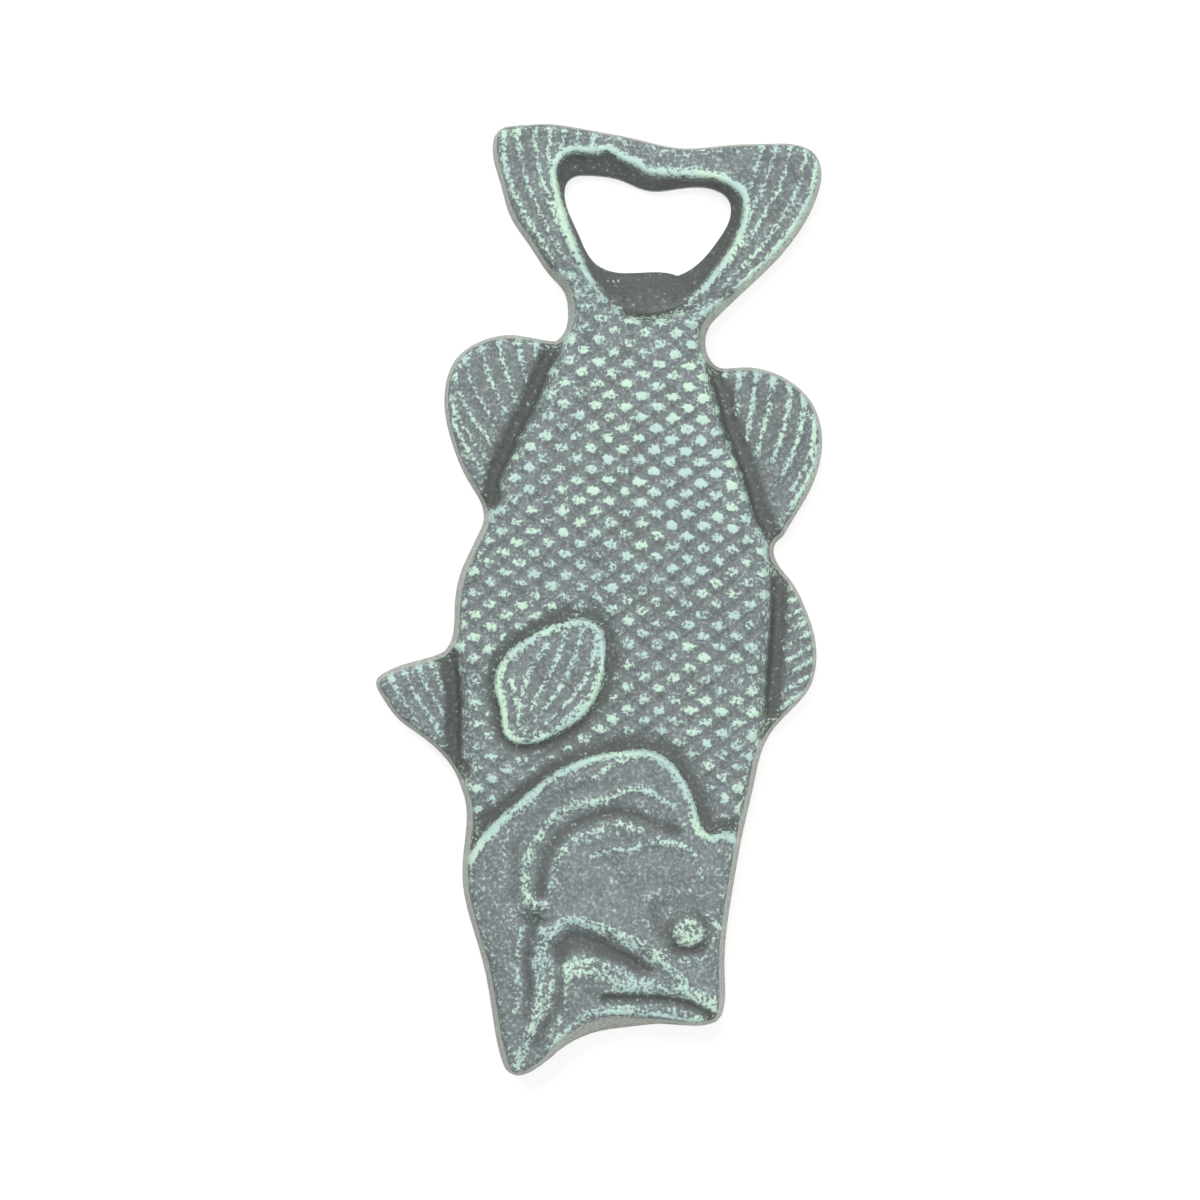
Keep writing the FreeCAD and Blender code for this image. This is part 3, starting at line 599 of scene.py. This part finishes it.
def open_sides(triangles):
    """Directed sides that only one triangle has."""
    sides = np.vstack([triangles[:, [0, 1]], triangles[:, [1, 2]], triangles[:, [2, 0]]])
    _, first, count = np.unique(np.sort(sides, axis=1), axis=0, return_index=True, return_counts=True)
    return sides[first[count == 1]]


def front_surface(silhouette, mouth):
    """Height field over the grid, clipped at the wall's top and at the cap mouth.

    Grid points close to that rim are first moved onto it, along the steepest way, so that no triangle is a
    sliver.
    """
    low, high = silhouette.min(axis=(0, 1)) - 1.0, silhouette.max(axis=(0, 1)) + 1.0
    columns, rows = (np.ceil((high - low) / PITCH).astype(int) + 1)
    x, y = np.meshgrid(low[0] + PITCH * np.arange(columns), low[1] + PITCH * np.arange(rows), indexing="ij")
    edge = depth_in(x, y, silhouette)
    mouth_gap = -depth_in(x, y, mouth)
    wobble = RIM_WOBBLE * lattice_noise(x, y, RIM_WOBBLE_SIZE, 41)
    level = np.minimum(edge - wall_lean(x, y) + wobble, mouth_gap)
    height, facts = relief(x, y, edge, np.maximum(mouth_gap, 0.0))
    fine, wide = blurred(height, BLUR_FINE), blurred(height, BLUR_WIDE)
    paint, hollow = brushed(x, y, height, fine, wide, facts, level)
    slope_x, slope_y = np.gradient(level, PITCH)
    near = np.abs(level) < SNAP * PITCH
    push = np.where(near, level / np.maximum(slope_x ** 2 + slope_y ** 2, 0.25), 0.0)
    x, y, level = x - push * slope_x, y - push * slope_y, np.where(near, 0.0, level)
    rows_of = np.stack([a.ravel() for a in (x, y, height, paint, hollow)], axis=1)
    return clip(rows_of, grid_triangles(columns, rows), level.ravel())


def brushed(x, y, height, fine, wide, facts, level):
    """Paint and hollow, both 0 to 1: paint catches on what stands above its surroundings; hollow is painted
    shade, darker where the front lies below its surroundings and in the cap recess.
    """
    crest = (height - fine) / 0.10 + (height - wide) / 0.55
    patchy = 0.5 + 0.5 * lattice_noise(x, y, 9.0, 51)
    back_glow = bell(np.hypot((x - 14.0) / 12.0, (y - 24.0) / 17.0), 1.0)
    scale_paint = facts["bare"] * smooth(facts["cell"], 0.45, 0.85)
    scale_paint *= (0.35 + 0.4 * facts["chance"] + 0.45 * back_glow)
    paint = 0.30 * np.clip(crest, 0.0, 1.6) * (1 - 0.6 * facts["bare"]) + 0.75 * scale_paint
    paint += 0.35 * bell(facts["gill"] - 0.7, 0.6) + 0.30 * bell(facts["pectoral"] - 0.6, 0.6)
    paint += 0.45 * bell(facts["recess"] + 0.35, 0.5) + 0.25 * bell(level - 0.5, 0.6)
    paint += 0.10 * patchy
    paint *= 1.0 - 0.9 * facts["in_recess"]
    # Painted shade: darker where the front lies below its wide blur, and in the cap recess.
    hollow = np.clip(-(height - wide) / 0.6, 0.0, 1.0) + 0.5 * facts["in_recess"]
    return np.clip(paint, 0.0, 1.0), np.clip(hollow, 0.0, 1.0)


def casting(silhouette, mouth):
    """Casting's front and its walls in WALL_RINGS steps, still open at the flat back.

    Each open side of the front starts a strip of wall. A point of the wall runs straight from the front's
    rim to the nearest point of the outline at the back; round the cap mouth it runs straight down.
    """
    rows, triangles, level = front_surface(silhouette, mouth)
    x, y, height = rows[:, 0], rows[:, 1], rows[:, 2]
    mouth_gap = nearest_on(x, y, mouth)[0]
    radius = np.where(mouth_gap < 1.2 * RIM_RADIUS, MOUTH_RADIUS, RIM_RADIUS)
    short = np.clip(1.0 - level / radius, 0.0, 1.0)
    z = height - radius * (1.0 - np.sqrt(1.0 - short ** 2))

    sides = open_sides(triangles)
    rim, place = np.unique(sides, return_inverse=True)
    sides_in_rim = place.reshape(-1, 2)
    on_mouth = mouth_gap[rim] < 0.3
    _, foot_x, foot_y = nearest_on(x[rim], y[rim], silhouette)
    foot_x, foot_y = np.where(on_mouth, x[rim], foot_x), np.where(on_mouth, y[rim], foot_y)
    out = np.stack([foot_x - x[rim], foot_y - y[rim]], axis=1)
    out /= np.maximum(np.linalg.norm(out, axis=1), 1e-6)[:, None]
    rings = []
    for ring in range(1, WALL_RINGS + 1):
        t = ring / WALL_RINGS
        wall_z = z[rim] * (1 - t)
        lumps = lattice_noise(x[rim] + 0.8 * wall_z, y[rim] - 0.8 * wall_z, WALL_LUMP_SIZE, 61)
        lumps *= WALL_LUMPS * math.sin(math.pi * t)
        rings.append(np.stack([x[rim] * (1 - t) + foot_x * t + lumps * out[:, 0],
                               y[rim] * (1 - t) + foot_y * t + lumps * out[:, 1], wall_z], axis=1))
    count, width = len(x), len(rim)
    above = [rim] + [count + ring * width + np.arange(width) for ring in range(WALL_RINGS)]
    a, b = sides_in_rim[:, 0], sides_in_rim[:, 1]
    walls = []
    for upper, lower in zip(above, above[1:]):
        walls += [np.stack([upper[b], upper[a], lower[a]], axis=1),
                  np.stack([upper[b], lower[a], lower[b]], axis=1)]
    vertices = np.vstack([np.stack([x, y, z], axis=1)] + rings)
    faces = np.vstack([triangles] + walls)
    shade = np.vstack([rows[:, 3:5], np.tile(rows[rim][:, 3:5], (WALL_RINGS, 1))])
    side = np.concatenate([np.zeros(count), np.ones(width * WALL_RINGS)])
    return vertices, faces, shade, side


def new_mesh(name, vertices, faces):
    """Blender mesh of triangles from places in mm."""
    mesh = bpy.data.meshes.new(name)
    mesh.vertices.add(len(vertices))
    mesh.vertices.foreach_set("co", (vertices * MM).ravel())
    mesh.loops.add(faces.size)
    mesh.loops.foreach_set("vertex_index", faces.ravel())
    mesh.polygons.add(len(faces))
    mesh.polygons.foreach_set("loop_start", np.arange(0, faces.size, 3))
    mesh.polygons.foreach_set("loop_total", np.full(len(faces), 3))
    mesh.update(calc_edges=True)
    return mesh


def close_back(mesh):
    """Fills the ring at z = 0, with its hole, by flat triangles that look down; part of the ring stays open."""
    work = bmesh.new()
    work.from_mesh(mesh)
    ring = [edge for edge in work.edges if edge.is_boundary]
    made = bmesh.ops.triangle_fill(work, edges=ring, use_beauty=True, use_dissolve=False)
    for face in (item for item in made["geom"] if isinstance(item, bmesh.types.BMFace)):
        if face.normal.z > 0:
            face.normal_flip()
    work.to_mesh(mesh)
    work.free()


def set_attribute(mesh, name, values):
    """Number for each vertex that the material reads by name."""
    attribute = mesh.attributes.new(name, "FLOAT", "POINT")
    attribute.data.foreach_set("value", values)


# ---------------------------------------------------------------- material

def linear(hex_colour):
    """sRGB hex as the linear colour that a shader takes."""
    parts = [int(hex_colour[i:i + 2], 16) / 255 for i in (1, 3, 5)]
    return [c / 12.92 if c <= 0.04045 else ((c + 0.055) / 1.055) ** 2.4 for c in parts] + [1.0]


def add_node(tree, kind, settings=None, inputs=None, links=None):
    """One node with its settings, its input values and its links, each link from (node, output)."""
    node = tree.nodes.new(kind)
    for key, value in (settings or {}).items():
        setattr(node, key, value)
    for key, value in (inputs or {}).items():
        node.inputs[key].default_value = value
    for key, (source, output) in (links or {}).items():
        tree.links.new(source.outputs[output], node.inputs[key])
    return node


def per_metre(size_mm):
    """Noise scale whose lumps are about a given size."""
    return 1.0 / (size_mm * MM)


def verdigris_iron():
    """Sand-cast iron, painted matt slate and dry-brushed with verdigris.

    The paint has no gloss. It lies as a broken film of specks on crests, because a nearly dry brush touches
    only the tops of the sand grain; hollows keep the dark ground and get painted shade besides, darker still,
    and the bare wall is a paler grey.
    """
    material = bpy.data.materials.new("verdigris_cast_iron")
    material.use_nodes = True
    tree = material.node_tree
    tree.nodes.clear()
    where = add_node(tree, "ShaderNodeTexCoord")
    paint = add_node(tree, "ShaderNodeAttribute", {"attribute_name": "paint"})
    hollow = add_node(tree, "ShaderNodeAttribute", {"attribute_name": "hollow"})
    # hollow: painted shade for the hollows, made in brushed().
    side = add_node(tree, "ShaderNodeAttribute", {"attribute_name": "side"})

    def noise(size_mm, detail, roughness=0.5):
        return add_node(tree, "ShaderNodeTexNoise", {}, {"Scale": per_metre(size_mm), "Detail": detail,
                        "Roughness": roughness}, {"Vector": (where, "Object")})

    def maths(operation, first, second, clamp=False):
        node = add_node(tree, "ShaderNodeMath", {"operation": operation, "use_clamp": clamp})
        for socket, item in zip(node.inputs, (first, second)):
            if isinstance(item, tuple):
                tree.links.new(item[0].outputs[item[1]], socket)
            else:
                socket.default_value = item
        return node

    def mixed(factor, first, second):
        node = add_node(tree, "ShaderNodeMix", {"data_type": "RGBA"})
        tree.links.new(factor[0].outputs[factor[1]], node.inputs[0])
        for socket, item in ((node.inputs[6], first), (node.inputs[7], second)):
            if isinstance(item, tuple):
                tree.links.new(item[0].outputs[item[1]], socket)
            else:
                socket.default_value = linear(item)
        return node

    def spread(source, low, high):
        node = add_node(tree, "ShaderNodeMapRange", {"interpolation_type": "SMOOTHSTEP"},
                        {"From Min": low, "From Max": high})
        tree.links.new(source[0].outputs[source[1]], node.inputs["Value"])
        return node

    grain = noise(0.55, 3.0, 0.65)
    mottle = noise(2.6, 4.0, 0.6)
    patch = noise(9.0, 2.0)

    ground = mixed((spread((mottle, "Fac"), 0.35, 0.65), "Result"), "#535a5a", "#62696c")
    ground = mixed((spread((grain, "Fac"), 0.42, 0.66), "Result"), (ground, 2), "#767e80")
    # Painted shade: the hollow mask darkens the ground towards #3f423d in hollows and in the cap recess.
    ground = mixed((maths("MULTIPLY", (hollow, "Fac"), 0.8), "Value"), (ground, 2), "#3f423d")

    speck = maths("MULTIPLY", (maths("SUBTRACT", (grain, "Fac"), 0.5), "Value"), 2.4)
    blotch = maths("MULTIPLY", (maths("SUBTRACT", (mottle, "Fac"), 0.5), "Value"), 0.9)
    amount = maths("ADD", (paint, "Fac"), (maths("ADD", (speck, "Value"), (blotch, "Value")), "Value"))
    film = spread((amount, "Value"), 0.30, 0.75)
    green = mixed((spread((patch, "Fac"), 0.4, 0.62), "Result"), "#9fbab3", "#adc9b4")
    film_share = maths("MULTIPLY", (film, "Result"), 0.85)
    skin = mixed((film_share, "Value"), (ground, 2), (green, 2))

    # The wall is painted a paler grey than the front, lighter and darker by the grain.
    pale_wall_colour = mixed((spread((grain, "Fac"), 0.35, 0.65), "Result"), "#7d827b", "#a3a89f")
    skin = mixed((maths("MULTIPLY", (side, "Fac"), 0.85), "Value"), (skin, 2), (pale_wall_colour, 2))

    coarse = noise(0.9, 4.0, 0.6)
    bump = add_node(tree, "ShaderNodeBump", {}, {"Strength": 0.6, "Distance": BUMP_HEIGHT * MM},
                    {"Height": (coarse, "Fac")})
    shader = add_node(tree, "ShaderNodeBsdfPrincipled", {}, {"Roughness": 0.72, "Metallic": 0.0,
                      "Specular IOR Level": 0.35}, {"Base Color": (skin, 2), "Normal": (bump, "Normal")})
    add_node(tree, "ShaderNodeOutputMaterial", links={"Surface": (shader, "BSDF")})
    return material


def backdrop_white():
    """Matt white card. The camera sees most of it as plain white, and the rest keeps the object's soft
    shadow.
    """
    material = bpy.data.materials.new("white_card")
    material.use_nodes = True
    tree = material.node_tree
    tree.nodes.clear()
    card = add_node(tree, "ShaderNodeBsdfDiffuse", {}, {"Color": linear("#f4f4f2")})
    glow = add_node(tree, "ShaderNodeEmission", {}, {"Color": linear("#ffffff"), "Strength": 1.0})
    path = add_node(tree, "ShaderNodeLightPath")
    share = add_node(tree, "ShaderNodeMath", {"operation": "MULTIPLY"}, {1: CARD_GLOW},
                     {0: (path, "Is Camera Ray")})
    both = add_node(tree, "ShaderNodeMixShader", {}, {}, {0: (share, "Value"), 1: (card, "BSDF"),
                    2: (glow, "Emission")})
    add_node(tree, "ShaderNodeOutputMaterial", links={"Surface": (both, "Shader")})
    return material


# ---------------------------------------------------------------- scene

def make_floor():
    """Plain card that the casting lies on, its top at the casting's back."""
    mesh = bpy.data.meshes.new("floor")
    half = CARD_HALF
    corners = [(-half, -half, 0), (half, -half, 0), (half, half, 0), (-half, half, 0)]
    mesh.from_pydata(corners, [], [(0, 1, 2, 3)])
    floor = bpy.data.objects.new("floor", mesh)
    floor.location.z = CAD_BOX[0][2] - CARD_GAP
    mesh.materials.append(backdrop_white())
    bpy.context.collection.objects.link(floor)


def make_light(name, place, size, power):
    """Square soft box that faces the casting."""
    light = bpy.data.lights.new(name, "AREA")
    light.size = size
    light.energy = power
    lamp = bpy.data.objects.new(name, light)
    lamp.location = place
    lamp.rotation_euler = (-Vector(place)).to_track_quat("-Z", "Y").to_euler()
    bpy.context.collection.objects.link(lamp)


def make_camera():
    """Long lens straight above the casting, rolled so that its tail leans a little to the right."""
    roll = math.radians(CAMERA_ROLL)
    frame_width = FRAME_WIDTH * MM
    up = Vector((-math.sin(roll), math.cos(roll), 0.0))
    right = Vector((math.cos(roll), math.sin(roll), 0.0))
    aim = up * AIM_UP * MM - right * AIM_LEFT * MM
    data = bpy.data.cameras.new("camera")
    data.lens = 150.0
    data.sensor_width = 36.0
    middle_height = 0.5 * CAD_BOX[1][2]
    distance = frame_width * data.lens / data.sensor_width
    camera = bpy.data.objects.new("camera", data)
    turn = Matrix((right, up, right.cross(up))).transposed()
    camera.matrix_world = Matrix.Translation(aim + Vector((0, 0, distance + middle_height))) @ turn.to_4x4()
    bpy.context.collection.objects.link(camera)
    bpy.context.scene.camera = camera


def make_world():
    """Even white room."""
    world = bpy.data.worlds.new("room")
    world.use_nodes = True
    world.node_tree.nodes["Background"].inputs["Color"].default_value = linear("#ffffff")
    world.node_tree.nodes["Background"].inputs["Strength"].default_value = ROOM_LIGHT
    bpy.context.scene.world = world


def make_fish():
    """Detailed casting in the CAD casting's place."""
    silhouette, mouth = split_outline(back_outline(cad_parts[CASTING]))
    vertices, faces, shade, side = casting(silhouette, mouth)
    mesh = new_mesh("fish_opener", vertices, faces)
    close_back(mesh)
    set_attribute(mesh, "paint", shade[:, 0])
    # hollow carries the painted shade of the hollows to the material.
    set_attribute(mesh, "hollow", shade[:, 1])
    set_attribute(mesh, "side", side)
    mesh.polygons.foreach_set("use_smooth", np.ones(len(mesh.polygons), dtype=bool))
    mesh.set_sharp_from_angle(angle=math.radians(60.0))
    mesh.materials.append(verdigris_iron())
    fish = bpy.data.objects.new("fish_opener", mesh)
    bpy.context.collection.objects.link(fish)
    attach(fish, "root")
    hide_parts(CASTING)
    print("fish_opener triangles", len(mesh.polygons))


bpy.context.scene.view_settings.view_transform = "Standard"
make_world()
make_floor()
make_camera()
make_light("key", (-0.25, 0.45, 0.75), 0.5, 9.0)
make_light("fill", (0.5, -0.2, 0.7), 0.6, 5.0)
make_fish()
